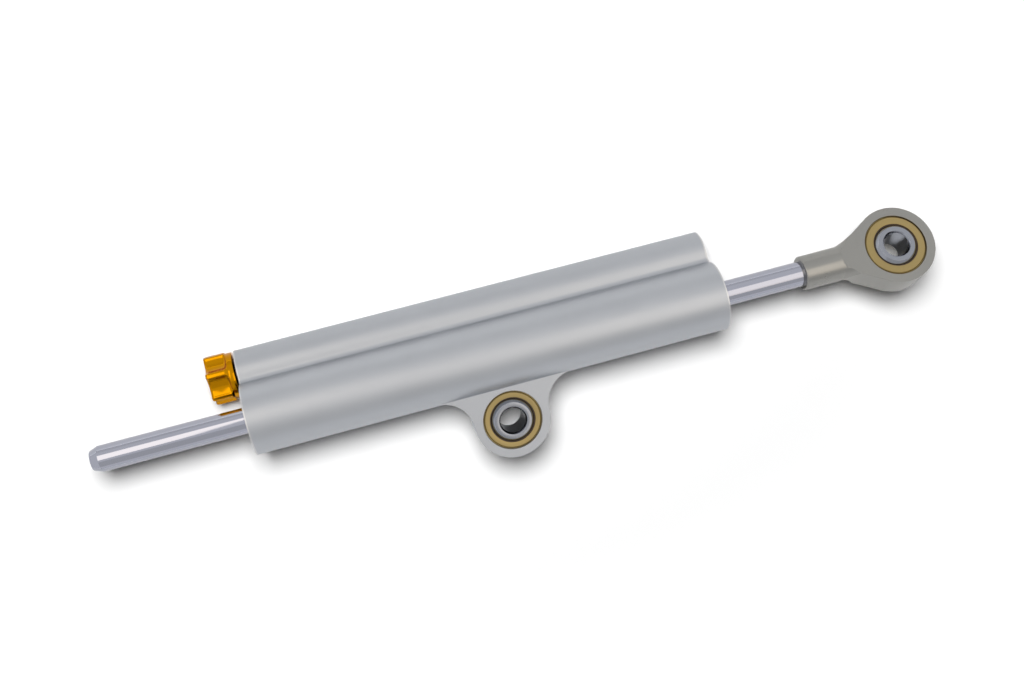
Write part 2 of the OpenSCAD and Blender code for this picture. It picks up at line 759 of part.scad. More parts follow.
module piston_ring() color([0.3, 0.2, 0.12]) on_barrel() translate([piston_x, 0, 0])
    tube(bore_r - run_gap, bore_r - piston_ring_t + seat_gap,
        -piston_ring_w / 2 + end_gap, piston_ring_w / 2 - end_gap);

module piston_o_ring() color([0.06, 0.06, 0.06]) on_barrel() translate([piston_x, 0, 0])
    o_ring(rod_r, rod_r + inner_ring, inner_ring_x, run_gap);

groove_depth = 0.6;
snap_mouth = 2;
snap_x = piston_l / 2 - snap_recess + end_gap;
module piston_rod() color([0.82, 0.82, 0.86]) on_barrel() difference() {
    union() {
        turned([
            [0, rod_tip_x], [rod_r - tip_chamfer, rod_tip_x], [rod_r, rod_tip_x + tip_chamfer_l],
            [rod_r, neck_x + rod_entry], [0, neck_x + rod_entry]
        ]);
        bar(rod_thread_d / 2, neck_x, neck_x + rod_entry + rod_thread_l);
    }
    translate([piston_x, 0, 0]) for (side = [0, 1]) mirror([side, 0, 0])
        tube(rod_r + over, rod_r - groove_depth, snap_x, snap_x + snap_ring_t);
}

module piston_snap_rings() color([0.2, 0.2, 0.21]) on_barrel() translate([piston_x, 0, 0])
    for (side = [0, 1]) mirror([side, 0, 0]) difference() {
        tube(snap_ring_d / 2, rod_r - groove_depth + seat_gap,
            snap_x + seat_gap, snap_x + snap_ring_t - seat_gap);
        translate([snap_x - over, -snap_mouth / 2, 0])
            cube([snap_ring_t + 2 * over, snap_mouth, snap_ring_d]);
    }

// Rod-end eye: a blank turned with a round neck, milled to a teardrop outline and then flat on
// both sides
eye_neck_r = neck_d / 2;
neck_edge = 0.5;
module eye_blank() {
    shoulder = -eye_reach + neck_l;
    back = eye_d / 2 + over;
    blank_r = norm([eye_d, eye_t]) / 2 + over;
    rotate([0, 90, 0]) rotate_extrude() difference() {
        polygon([
            [0, -eye_reach], [eye_neck_r - neck_edge, -eye_reach],
            [eye_neck_r, -eye_reach + neck_edge], [eye_neck_r, shoulder],
            [blank_r, shoulder], [blank_r, back], [0, back]
        ]);
        translate([eye_neck_r + shoulder_r, shoulder]) circle(r = shoulder_r - ease);
    }
}

// Teardrop plate: a disc, and straight sides that run onto it from the hollows beside the neck
module eye_plate() {
    height = neck_d + 2 * over;
    disc_r = eye_d / 2 - ease;
    strip = eye_neck_r + ease;
    corner_x = (strip - disc_r / cos(eye_taper)) / tan(eye_taper);
    hollow_x = corner_x - eye_fillet * tan(eye_taper / 2);
    hollow_y = strip + eye_fillet;
    edge = [
        [-eye_reach - over, strip],
        [hollow_x, strip],
        [hollow_x + eye_fillet * sin(eye_taper), hollow_y - eye_fillet * cos(eye_taper)],
        disc_r * [-sin(eye_taper), cos(eye_taper)]
    ];
    cylinder(d = eye_d, h = height, center = true);
    linear_extrude(height, center = true) difference() {
        polygon([each edge, [0, 0], for (i = [3:-1:0]) [edge[i].x, -edge[i].y]]);
        for (side = [-1, 1]) translate([hollow_x, side * hollow_y]) circle(r = eye_fillet - ease);
    }
}

// Cutter that mills one flat: a round end over the neck, and the full width from there on
module flat_cutter() {
    round_x = -eye_reach + neck_l + eye_neck_r;
    translate([0, 0, eye_t / 2]) linear_extrude(eye_d) union() {
        translate([round_x, 0]) circle(r = eye_neck_r);
        translate([round_x - eye_t / 2, -eye_d]) square([eye_reach + eye_d, 2 * eye_d]);
    }
}

module rod_end_eye() color([0.58, 0.57, 0.55]) in_eye() difference() {
    intersection() {
        eye_blank();
        eye_plate();
    }
    for (side = [0, 1]) mirror([0, 0, side]) flat_cutter();
    cylinder(d = eye_race_d, h = eye_t + 2 * over, center = true);
    bar(rod_r + seat_gap, -eye_reach - over, -eye_reach + rod_entry);
    bar(rod_thread_d / 2 + seat_gap, -eye_reach, -eye_reach + rod_entry + rod_thread_l + over);
}

damper_body();
left_seal_head();
right_seal_head();
left_rod_bush();
right_rod_bush();
left_rod_seal();
right_rod_seal();
left_wiper();
right_wiper();
head_o_rings();
head_circlips();
lug_bearing_race();
lug_bearing_liner();
lug_bearing_ball();
adjuster_housing();
housing_o_ring();
adjuster_circlip();
adjuster_knob();
knob_grub_screw();
adjuster_spindle();
spindle_o_ring();
detent_ball();
detent_spring();
adjuster_needle();
needle_o_ring();
needle_seat();
passage_plugs();
bleed_screw();
bleed_washer();
separating_piston();
separator_o_ring();
reservoir_spring();
reservoir_end_plug();
end_plug_o_ring();
reservoir_circlip();
piston();
piston_ring();
piston_o_ring();
piston_rod();
piston_snap_rings();
rod_end_eye();
eye_bearing_race();
eye_bearing_liner();
eye_bearing_ball();
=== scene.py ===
"""Looks of a motorcycle steering damper: its finished pieces, its materials and a pale studio."""

import math

import bmesh
import bpy
from mathutils import Matrix, Vector


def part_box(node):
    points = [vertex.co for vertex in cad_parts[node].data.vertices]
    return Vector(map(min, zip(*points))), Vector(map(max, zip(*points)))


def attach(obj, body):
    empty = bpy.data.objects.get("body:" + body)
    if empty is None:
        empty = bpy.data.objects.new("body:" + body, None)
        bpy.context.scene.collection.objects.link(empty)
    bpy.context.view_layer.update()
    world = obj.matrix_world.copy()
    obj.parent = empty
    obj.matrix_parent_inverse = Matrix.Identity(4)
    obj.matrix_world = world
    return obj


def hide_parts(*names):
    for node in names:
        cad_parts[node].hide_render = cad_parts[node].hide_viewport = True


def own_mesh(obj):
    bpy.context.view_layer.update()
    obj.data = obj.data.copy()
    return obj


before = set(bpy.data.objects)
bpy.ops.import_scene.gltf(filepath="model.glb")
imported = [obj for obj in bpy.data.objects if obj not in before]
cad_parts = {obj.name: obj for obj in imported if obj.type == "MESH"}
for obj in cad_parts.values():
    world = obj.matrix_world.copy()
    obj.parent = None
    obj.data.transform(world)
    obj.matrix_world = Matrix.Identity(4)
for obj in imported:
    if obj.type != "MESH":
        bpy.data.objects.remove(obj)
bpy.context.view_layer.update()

bl_info = {
    "name": "Steering damper",
    "version": (1, 0, 0),
    "blender": (4, 5, 0),
    "location": "3D View > Sidebar > Damper",
    "description": "Builds the visible pieces of a motorcycle steering damper and its studio",
    "category": "Add Mesh",
}

MM = 0.001

# Axes and faces of the part, in millimetres, as its source gives them
BARREL_AXIS = Vector((0, 20.6, 0))
LOBE_AXIS = Vector((0, 33.0101, -10.4132))
LEFT_END, RIGHT_END = -77.9, 73.6
LUG_CENTRE = Vector((0, 0, 0))
EYE_CENTRE = Vector((133.4, 20.6, 0))
EYE_ROLL = math.radians(28)
LUG_T, EYE_T = 9.6, 9.2
# The lug's flat faces end below this place along Y, where the lug runs into the barrel
LUG_TOP = 10.8

# The spherical bearings, in millimetres: radii, and half widths along their bores
LUG_RACE_R, EYE_RACE_R, RACE_HALF = 9.19, 9.89, 4.5
HOLLOW_R = 8.46
LINER_OUT_R, LINER_IN_R, LINER_HALF = 8.43, 8.03, 4.2
BALL_R, BALL_HALF = 8, 5.5
BORE_R, MOUTH_R, MOUTH_L = 4, 4.45, 0.7
# Rounding of the corners of the races' hollows, and of the bores' corners
HOLLOW_SOFT, BORE_SOFT = 0.08, 0.05

# The rod, in millimetres: its shaft, its pointed free end, its threaded stud and its grooves
ROD_R, ROD_TIP, ROD_SHOULDER = 4, -125.5, 103.2
POINT_R, POINT_L = 3, 2.6
STUD_R, STUD_END = 3, 114.2
GROOVE_R, GROOVE_W = 3.4, 1

# The knob, in millimetres: its gap to the lobe, its bore, its screw hole and its dished face
KNOB_GAP, KNOB_BORE_R, SCREW_HOLE_R = 0.7, 2.01, 1.26
DISH_WALL, DISH_EDGE, DISH_DEPTH = 1.4, 0.2, 1
KNOB_TURN = math.radians(7)
SCREW_SCALLOP = 3
# The ridges come to their full height this much sooner than the scallops to their full depth
RIDGE_RISE = 1.6
# At the outer end the ridges fall by this many edge widths, the scallops by this share of the lip
RIDGE_FALL, SCALLOP_FALL = 1.4, 0.8
# The drill of the grub screw's hole, in radii of the knob inside its scallops
DRILL_LENGTH = 1.4

# The springs: radii of their wires in millimetres, and their curls
DETENT_WIRE_R, RESERVOIR_WIRE_R, CURLS = 0.15, 0.55, 4.0

# Fineness of the meshes: sides of what is turned, and steps of its arcs and corners
ROD_SIDES, BEARING_SIDES, KNOB_SIDES, HOLE_SIDES = 128, 144, 360, 48
HOLLOW_STEPS, CROWN_STEPS, CORNER_STEPS = 32, 40, 4
RUNOUT_STEPS, LIP_STEPS = 6, 8
WIRE_SIDES, CURL_STEPS = 12, 40

# A corner this close to a plane lies on it, and one this close to a race lies on its seat
NEAR, SEAT_NEAR = 0.01, 0.11


def linear(code):
    """Turns an sRGB hex colour into the linear numbers that Blender mixes."""
    parts = [int(code[i:i + 2], 16) / 255 for i in (1, 3, 5)]
    return [c / 12.92 if c <= 0.04045 else ((c + 0.055) / 1.055) ** 2.4 for c in parts]


def colour(name, description, code):
    """A colour that a user can change."""
    return bpy.props.FloatVectorProperty(
        name=name, description=description, default=linear(code), size=3, min=0, max=1,
        subtype="COLOR",
    )


def length(name, description, millimetres):
    """A length that a user can change, in metres."""
    return bpy.props.FloatProperty(
        name=name, description=description, default=millimetres * MM, min=0, unit="LENGTH",
        precision=5,
    )


class DamperSizes(bpy.types.PropertyGroup):
    """Sizes of the finishing touches."""
    body_edge: length("Body edge", "Width of the broken edges of the body", 0.35)
    eye_edge: length("Eye edge", "Width of the broken edges of the rod's eye", 0.3)
    seat_edge: length("Seat edge", "Width of the chamfers of the two bearing seats", 0.25)
    race_edge: length("Race edge", "Width of the chamfers of the bearing races", 0.3)
    ball_edge: length("Ball edge", "Rounding of the edges of the bearing balls", 0.12)
    rod_edge: length("Rod edge", "Rounding of the edges of the rod", 0.12)
    stake_width: length("Stake width", "Width of the groove pressed in round each race", 0.22)
    stake_depth: length("Stake depth", "Depth of the groove pressed in round each race", 0.7)
    knob_diameter: length("Knob diameter", "Diameter of the knob over its ridges", 15.6)
    knob_length: length("Knob length", "Length of the adjuster knob", 8.6)
    flange_diameter: length("Flange diameter", "Diameter of the knob's round flange", 14.6)
    flange_thickness: length("Flange thickness", "Thickness of the knob's round flange", 1.8)
    scallop_radius: length("Scallop radius", "Radius of each finger scallop", 5.2)
    scallop_depth: length("Scallop depth", "Depth of each finger scallop", 1.8)
    scallop_end: length("Scallop end", "Radius in which a scallop runs out at the flange", 1.2)
    scallop_lip: length("Scallop lip", "Radius of a scallop's rounded lip at the outer end", 1.1)
    ridge_rounding: length("Ridge rounding", "Softness of the ridges between the scallops", 0.2)
    knob_edge: length("Knob edge", "Width of the broken edges of the knob's flange", 0.25)
    scallops: bpy.props.IntProperty(
        name="Scallops", description="Number of finger scallops on the knob", default=6,
        min=3, max=12,
    )


class DamperColours(bpy.types.PropertyGroup):
    """Colours of the finishes."""
    body: colour("Body", "Blasted and anodised aluminium of the body", "#BCBFC4")
    # Painted highlight: a paler colour laid on the body's end chamfers, standing for the light they
    # mirror
    painted_end_highlight: colour("Painted end highlight", "Bare aluminium of the body's end chamfers", "#D6D6D7")
    head: colour("Heads and plugs", "Turned aluminium of the seal heads and plugs", "#9A9DA1")
    eye: colour("Rod eye", "Satin titanium of the rod's eye", "#9D9C98")
    race: colour("Races", "Gold-toned bronze of the bearing races", "#AB9767")
    bush: colour("Bushes", "Bronze of the rod bushes", "#A8804A")
    ball: colour("Balls", "Polished bearing steel", "#9DA0A8")
    chrome: colour("Chrome", "Hard chrome of the rod", "#B2B4C0")
    knob: colour("Knob", "Gold anodising of the knob", "#CB8A06")
    steel: colour("Steel", "Turned steel of the adjuster's parts", "#A9ABB0")
    black_steel: colour("Black steel", "Oiled black steel of screws and circlips", "#2B2C2F")
    spring: colour("Springs", "Drawn spring wire", "#8D8F94")
    brass: colour("Seat", "Turned brass of the needle's seat", "#C9A656")
    copper: colour("Washer", "Soft copper of the sealing washer", "#B9724A")
    rubber: colour("Rubber", "Black nitrile rubber", "#151516")
    cup: colour("Rod seals", "Green polyurethane of the rod seals", "#2E5A44")
    fabric: colour("Liners", "Dark slippery liner of the bearings", "#382B1F")
    floor: colour("Floor", "Pale studio floor", "#FFFFFF")


def sizes():
    """The sizes that a user can change."""
    return bpy.context.scene.damper_sizes


def colours():
    """The colours that a user can change."""
    return bpy.context.scene.damper_colours


def add(tree, kind, inputs=None, **settings):
    """Adds one node with its settings, and with values or links on its inputs."""
    made = tree.nodes.new(kind)
    for name, value in settings.items():
        setattr(made, name, value)
    for key, value in (inputs or {}).items():
        if isinstance(value, bpy.types.NodeSocket):
            tree.links.new(value, made.inputs[key])
        else:
            made.inputs[key].default_value = value
    return made


# Finishes

def new_finish(name):
    """An empty material and its node tree."""
    made = bpy.data.materials.new(name)
    made.use_nodes = True
    made.node_tree.nodes.clear()
    return made, made.node_tree


def uneven_surface(tree, base, swing, roughness, spread, noises, relief, others, painted_end_highlight=None):
    """Ends a finish's tree with a surface whose colour and roughness are a little uneven.

    noises holds each noise as (place, width of its grain in millimetres, detail). Their mean makes
    the base colour darker and lighter by swing, and moves the roughness by spread either way. The
    first one also gives the relief, whose strength and height in millimetres are in relief. others
    holds further inputs of the surface. painted_end_highlight is 1 where a painted highlight lies."""
    values = [
        add(
            tree, "ShaderNodeTexNoise",
            {"Vector": place, "Scale": 1 / (grain * MM), "Detail": detail, "Roughness": 0.6},
        ).outputs["Fac"]
        for place, grain, detail in noises
    ]
    mean = values[0]
    for value in values[1:]:
        both = add(tree, "ShaderNodeMath", {0: mean, 1: value}, operation="ADD").outputs[0]
        mean = add(tree, "ShaderNodeMath", {0: both, 1: 0.5}, operation="MULTIPLY").outputs[0]
    shade = add(
        tree, "ShaderNodeMix",
        {
            "Factor": mean,
            "A": [c * (1 - swing) for c in base] + [1],
            "B": [min(1, c * (1 + swing)) for c in base] + [1],
        },
        data_type="RGBA",
    ).outputs["Result"]
    # Painted highlight: where the mask is 1, a paler colour replaces the surface's own
    if painted_end_highlight:
        shade = add(
            tree, "ShaderNodeMix", {"Factor": painted_end_highlight, "A": shade, "B": (*colours().painted_end_highlight, 1)},
            data_type="RGBA",
        ).outputs["Result"]
    # A noise lies mostly between 0.3 and 0.7
    dullness = add(
        tree, "ShaderNodeMapRange",
        {
            "Value": mean, "From Min": 0.3, "From Max": 0.7,
            "To Min": roughness - spread, "To Max": roughness + spread,
        },
    )
    strength, height = relief
    bump = add(
        tree, "ShaderNodeBump",
        {"Height": values[0], "Strength": strength, "Distance": height * MM},
    )
    shader = add(
        tree, "ShaderNodeBsdfPrincipled",
        {
            "Base Color": shade, "Roughness": dullness.outputs["Result"],
            "Normal": bump.outputs[0], **others,
        },
    )
    add(tree, "ShaderNodeOutputMaterial", {"Surface": shader.outputs[0]})


def near_ends(tree, place, highlit_piece):
    """1 within a chamfer's width of a piece's two ends along X, and 0 between them: the mask of a
    painted highlight.
    """
    low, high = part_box(highlit_piece)
    chamfer = 0.4 * MM
    along = add(tree, "ShaderNodeSeparateXYZ", {0: place}).outputs[0]
    middle = add(
        tree, "ShaderNodeMath", {0: along, 1: (low.x + high.x) / 2}, operation="SUBTRACT"
    )
    reach = add(tree, "ShaderNodeMath", {0: middle.outputs[0]}, operation="ABSOLUTE")
    return add(
        tree, "ShaderNodeMath", {0: reach.outputs[0], 1: (high.x - low.x) / 2 - chamfer},
        operation="GREATER_THAN",
    ).outputs[0]


def blasted_metal(name, base, roughness, grit, depth, swing, highlit_piece=None):
    """Metal blasted with fine beads and anodised or nickelled: an even satin with a fine sparkle.

    grit is the width of one dimple in millimetres, drawn a little coarser than the real 0.1 mm so
    that it shows, and depth is the height of the dimples. highlit_piece is the node of a piece
    whose two end chamfers get a paler colour as a painted highlight, standing for the light they
    mirror."""
    made, tree = new_finish(name)
    place = add(tree, "ShaderNodeTexCoord").outputs["Object"]
    cloud = 14
    uneven_surface(
        tree, base, swing, roughness, spread=0.05, noises=((place, grit, 3), (place, cloud, 2)),
        relief=(0.7, depth), others={"Metallic": 1},
        painted_end_highlight=near_ends(tree, place, highlit_piece) if highlit_piece else None,
    )
    return made


def turned_metal(name, base, roughness, axis, turn=(0, 0, 0), line=0.12, depth=0.004, swing=0.04):
    """Metal turned or ground round an axis: fine rings round it, which draw light into a soft band.

    axis is a point on the axis of the work, in millimetres, and turn brings that axis onto Z. line
    is the spacing of the tool's rings, which the eye sees as a brushed sheen. It is drawn a little
    coarser than the real 0.05 to 0.1 mm so that it shows. depth is the height of the rings."""
    made, tree = new_finish(name)
    place = add(tree, "ShaderNodeTexCoord").outputs["Object"]
    moved = add(
        tree, "ShaderNodeVectorMath", {0: place, 1: [-c * MM for c in axis]}, operation="ADD"
    )
    upright = add(tree, "ShaderNodeMapping", {"Vector": moved.outputs[0], "Rotation": turn})
    split = add(tree, "ShaderNodeSeparateXYZ", {0: upright.outputs[0]})
    flat = add(tree, "ShaderNodeCombineXYZ", {0: split.outputs[0], 1: split.outputs[1]})
    reach = add(tree, "ShaderNodeVectorMath", {0: flat.outputs[0]}, operation="LENGTH")
    rings = add(tree, "ShaderNodeCombineXYZ", {0: reach.outputs["Value"], 1: split.outputs[2]})
    cloud = 6
    uneven_surface(
        tree, base, swing, roughness, spread=0.15 * roughness,
        noises=((rings.outputs[0], line, 2), (place, cloud, 2)), relief=(0.4, depth),
        others={"Metallic": 1},
    )
    return made


def moulded_rubber(name, base, roughness, grain, sheen=0.0):
    """Moulded rubber or plastic: matt and dark, with the faint grain of its mould."""
    made, tree = new_finish(name)
    place = add(tree, "ShaderNodeTexCoord").outputs["Object"]
    uneven_surface(
        tree, base, swing=0.12, roughness=roughness, spread=0.08, noises=((place, grain, 3),),
        relief=(0.3, 0.01), others={"IOR": 1.5, "Sheen Weight": sheen},
    )
    return made


# Turns that bring the barrel's axis and the eye's own onto Z
ALONG_X = (0, math.radians(-90), 0)
ALONG_EYE = (EYE_ROLL, 0, 0)
FINISHES = {}


def make_finishes():
    """Makes every finish once. The part's material slots name them, with eye for the eye's own."""
    ink = colours()
    FINISHES.update({
        # Aluminium blasted with beads and anodised clear: a pale even satin, with a painted
        # highlight at its ends
        "body_aluminium": blasted_metal(
            "blasted_anodised_aluminium", ink.body, roughness=0.43, grit=0.28, depth=0.03,
            swing=0.08, highlit_piece="damper_body",
        ),
        # Turned aluminium: soft rings of light round each plug
        "head_aluminium": turned_metal(
            "turned_aluminium", ink.head, 0.34, BARREL_AXIS, ALONG_X
        ),
        # Titanium blasted finer than the body: darker, warmer and smoother
        "eye_titanium_grey": blasted_metal(
            "satin_titanium", ink.eye, roughness=0.31, grit=0.22, depth=0.02, swing=0.07
        ),
        # Turned bronze: a dull gold ring with a soft sheen that runs round it
        "race_bronze": turned_metal("turned_bronze_lug", ink.race, 0.36, LUG_CENTRE),
        # Bearing bronze, browner and a little smoother
        "bush_bronze": turned_metal("bearing_bronze", ink.bush, 0.3, BARREL_AXIS, ALONG_X),
        # Polished bearing steel: nearly a mirror, with hardly a ring to see
        "bearing_steel": turned_metal(
            "polished_bearing_steel", ink.ball, 0.16, LUG_CENTRE, depth=0.001
        ),
        # Ground hard chrome: a cool mirror with sharp streaks of light along the rod
        "rod_chrome": turned_metal(
            "ground_hard_chrome", ink.chrome, 0.09, BARREL_AXIS, ALONG_X, line=0.2,
            depth=0.0006, swing=0.02,
        ),
        # Aluminium turned bright and anodised gold: deep amber with clear bright edges
        "gold_anodised": turned_metal(
            "gold_anodised_aluminium", ink.knob, 0.13, LOBE_AXIS, ALONG_X, depth=0.0015
        ),
        # Turned steel: plain grey with a brushed sheen
        "machined_steel": turned_metal("turned_steel", ink.steel, 0.3, LOBE_AXIS, ALONG_X),
        # Black oiled steel: nearly black, with a dull glint
        "black_steel": turned_metal(
            "oiled_black_steel", ink.black_steel, 0.4, BARREL_AXIS, ALONG_X
        ),
        # Drawn spring wire: grey, with a smooth and slightly dull sheen
        "spring_steel": turned_metal("drawn_spring_wire", ink.spring, 0.32, LOBE_AXIS, ALONG_X),
        # Turned brass: yellow with a brushed sheen
        "seat_brass": turned_metal("turned_brass", ink.brass, 0.3, LOBE_AXIS, ALONG_X),
        # Soft copper: reddish and slightly dull
        "washer_copper": turned_metal("soft_copper", ink.copper, 0.35, LOBE_AXIS, ALONG_X),
        # Nitrile rubber: black and matt
        "black_rubber": moulded_rubber("nitrile_rubber", ink.rubber, 0.6, 0.3),
        # Cast polyurethane: dark green and waxy
        "seal_polyurethane": moulded_rubber("cast_polyurethane", ink.cup, 0.4, 0.4),
        # Woven liner: dark brown, with a faint sheen of its threads
        "liner_ptfe": moulded_rubber("woven_liner", ink.fabric, 0.55, 0.2, sheen=0.2),
        # The same bronze and bearing steel, turned round the eye's own axis
        "race_bronze_eye": turned_metal(
            "turned_bronze_eye", ink.race, 0.36, EYE_CENTRE, ALONG_EYE
        ),
        "ball_steel_eye": turned_metal(
            "polished_bearing_steel_eye", ink.ball, 0.16, EYE_CENTRE, ALONG_EYE, depth=0.001
        ),
    })


# Mesh helpers

def merged_copy(node):
    """A welded copy of a CAD node's mesh, with its flat faces whole."""
    weld = 1e-7
    flat = math.radians(0.3)
    made = bmesh.new()
    made.from_mesh(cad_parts[node].data)
    bmesh.ops.remove_doubles(made, verts=made.verts, dist=weld)
    bmesh.ops.dissolve_limit(made, angle_limit=flat, verts=made.verts, edges=made.edges)
    return made


def break_edges(made, width, chosen):
    """Chamfers the sharp outward edges whose two ends pass a test on their place in millimetres."""
    sharp = math.radians(30)
    edges = [
        e for e in made.edges
        if e.is_manifold and e.is_convex and e.calc_face_angle() > sharp
        and all(chosen(v.co / MM) for v in e.verts)
    ]
    bmesh.ops.bevel(
        made, geom=edges, offset=width, offset_type="OFFSET", segments=1, profile=0.5,
        affect="EDGES", clamp_overlap=True, loop_slide=True,
    )


def as_mesh(name, made):
    """Turns a finished bmesh into a mesh."""
    mesh = bpy.data.meshes.new(name)
    made.to_mesh(mesh)
    made.free()
    return mesh


def finish_piece(name, mesh, body, finish, nodes, angle=40, weighted=True):
    """Gives a mesh its finish and its smooth surface, and puts it on its body for its CAD nodes.

    Edges sharper than angle, in degrees, stay crisp. weighted keeps large flat faces flat to the
    eye where they meet a chamfer."""
    piece = bpy.data.objects.new(name, mesh)
    bpy.context.scene.collection.objects.link(piece)
    mesh.materials.clear()
    mesh.materials.append(FINISHES[finish])
    mesh.shade_smooth()
    mesh.set_sharp_from_angle(angle=math.radians(angle))
    if weighted:
        even = piece.modifiers.new("even_shading", "WEIGHTED_NORMAL")
        even.keep_sharp = True
        even.weight = 80
    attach(piece, body)
    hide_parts(*nodes)
    return piece


def rounded(points):
    """A closed outline. A third number in a point is the rounding of its corner."""
    outline = []
    for i, point in enumerate(points):
        here = Vector(point[:2])
        if len(point) == 2 or point[2] == 0:
            outline.append(here)
            continue
        before = Vector(points[i - 1][:2]) - here
        after = Vector(points[(i + 1) % len(points)][:2]) - here
        # A rounding takes at most half of each side, so that two corners don't meet
        room = 0.49
        reach = point[2] / math.tan(before.angle(after) / 2)
        reach = min(reach, before.length * room, after.length * room)
        start = here + before.normalized() * reach
        end = here + after.normalized() * reach
        for k in range(CORNER_STEPS + 1):
            t = k / CORNER_STEPS
            outline.append(start * (1 - t) ** 2 + here * 2 * t * (1 - t) + end * t ** 2)
    return outline


def arc(radius, half, steps, start, soft=0):
    """Points of a sphere's outline from start * half to -start * half, its two ends made soft."""
    turn = math.asin(half / radius)
    points = []
    for k in range(steps + 1):
        a = start * turn * (1 - 2 * k / steps)
        points.append((radius * math.cos(a), radius * math.sin(a), soft if k in (0, steps) else 0))
    return points


def lathe(outline, place, sides, closed=True):
    """Turns an outline of (radius, height) in millimetres round Z, then sets it in its place.

    An outline that isn't closed starts and ends on the axis."""
    made = bmesh.new()
    rings = []
    for radius, height in outline:
        if radius == 0:
            rings.append([made.verts.new((0, 0, height * MM))])
            continue
        rings.append([
            made.verts.new((
                radius * MM * math.cos(math.tau * k / sides),
                radius * MM * math.sin(math.tau * k / sides),
                height * MM,
            ))
            for k in range(sides)
        ])
    pairs = list(zip(rings, rings[1:])) + ([(rings[-1], rings[0])] if closed else [])
    for one, two in pairs:
        for k in range(sides):
            corners = []
            for ring, j in ((one, k), (one, k + 1), (two, k + 1), (two, k)):
                vert = ring[j % len(ring)]
                if vert not in corners:
                    corners.append(vert)
            if len(corners) > 2:
                made.faces.new(corners)
    bmesh.ops.recalc_face_normals(made, faces=made.faces)
    made.transform(place)
    return made


def placed(centre, roll=0.0):
    """Brings Z onto a bearing's axis at its centre."""
    return Matrix.Translation(Vector(centre) * MM) @ Matrix.Rotation(-roll, 4, "X")


def along_x(axis):
    """Brings Z onto +X along an axis of the part."""
    return Matrix.Translation(Vector(axis) * MM) @ Matrix.Rotation(math.radians(90), 4, "Y")


# Pieces

class DAMPER_OT_inner_parts(bpy.types.Operator):
    """Gives every part that keeps its CAD shape its real finish"""
    bl_idname = "damper.inner_parts"
    bl_label = "Finish inner parts"

    def execute(self, context):
        make_finishes()
        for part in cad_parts.values():
            finish = FINISHES[part.data.materials[0].name.split(".")[0]]
            for place in part.material_slots:
                place.material = finish
        return {"FINISHED"}


def on_body_end(p):
    """Whether a corner of the body lies on one of its two ends."""
    return abs(p.x - LEFT_END) < NEAR or abs(p.x - RIGHT_END) < NEAR


def on_lug_face(p):
    """Whether a corner of the body lies on one of the lug's flat faces."""
    return abs(abs(p.z) - LUG_T / 2) < NEAR and p.y < LUG_TOP


def on_lug_seat(p):
    """Whether a corner of the body lies on a rim of the lug's bearing seat."""
    return on_lug_face(p) and math.hypot(p.x, p.y) < LUG_RACE_R + SEAT_NEAR


class DAMPER_OT_body(bpy.types.Operator):
    """Makes the milled body, with barrel, side lobe and lug, and breaks its edges"""
    bl_idname = "damper.body"
    bl_label = "Body"

    def execute(self, context):
        made = merged_copy("damper_body")
        break_edges(made, sizes().seat_edge, on_lug_seat)
        break_edges(
            made, sizes().body_edge,
            lambda p: on_body_end(p) or on_lug_face(p) and not on_lug_seat(p),
        )
        mesh = as_mesh("body", made)
        finish_piece("body", mesh, "body", "body_aluminium", ["damper_body"])
        return {"FINISHED"}


class DAMPER_OT_rod(bpy.types.Operator):
    """Makes the ground and chromed through rod, with its pointed free end and its grooves"""
    bl_idname = "damper.rod"
    bl_label = "Rod"

    def execute(self, context):
        low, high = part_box("piston_snap_rings")
        edge = sizes().rod_edge / MM
        outline = [(0, ROD_TIP), (POINT_R, ROD_TIP, 4 * edge), (ROD_R, ROD_TIP + POINT_L, edge)]
        for x in (low.x / MM, high.x / MM - GROOVE_W):
            outline += [(ROD_R, x), (GROOVE_R, x), (GROOVE_R, x + GROOVE_W), (ROD_R, x + GROOVE_W)]
        outline += [(ROD_R, ROD_SHOULDER, edge), (STUD_R, ROD_SHOULDER)]
        outline += [(STUD_R, STUD_END, edge), (0, STUD_END)]
        made = lathe(rounded(outline), along_x(BARREL_AXIS), ROD_SIDES, closed=False)
        mesh = as_mesh("rod", made)
        finish_piece("rod", mesh, "rod", "rod_chrome", ["piston_rod"], weighted=False)
        return {"FINISHED"}


class DAMPER_OT_eye(bpy.types.Operator):
    """Makes the rod's eye with its milled flats and broken edges"""
    bl_idname = "damper.eye"
    bl_label = "Rod eye"

    def execute(self, context):
        made = merged_copy("rod_end_eye")
        upright = placed(EYE_CENTRE, EYE_ROLL).inverted()

        def on_face(p):
            return abs(abs((upright @ (p * MM)).z / MM) - EYE_T / 2) < NEAR

        def on_seat(p):
            own = (upright @ (p * MM)) / MM
            return on_face(p) and math.hypot(own.x, own.y) < EYE_RACE_R + SEAT_NEAR

        break_edges(made, sizes().seat_edge, on_seat)
        break_edges(made, sizes().eye_edge, lambda p: on_face(p) and not on_seat(p))
        mesh = as_mesh("rod_eye", made)
        finish_piece(
            "rod_eye", mesh, "rod", "eye_titanium_grey", ["rod_end_eye"]
        )
        return {"FINISHED"}


def race_outline(race_r):
    """Section of a race: flat chamfers, the groove pressed in round it, and its hollow."""
    kit = sizes()
    edge, deep = kit.race_edge / MM, kit.stake_depth / MM
    floor_r = race_r - kit.stake_width / MM
    side = [
        (floor_r - edge, RACE_HALF), (floor_r, RACE_HALF - edge),
        (floor_r, RACE_HALF - deep), (race_r, RACE_HALF - deep),
    ]
    other_side = [(r, -z) for r, z in reversed(side)]
    return rounded(side + other_side + arc(HOLLOW_R, RACE_HALF, HOLLOW_STEPS, -1, HOLLOW_SOFT))


def liner_outline():
    """Section of a liner: a thin shell between race and ball."""
    inside = arc(LINER_IN_R, LINER_HALF, HOLLOW_STEPS, -1)
    outside = arc(LINER_OUT_R, LINER_HALF, HOLLOW_STEPS, 1)
    return rounded(inside + outside)


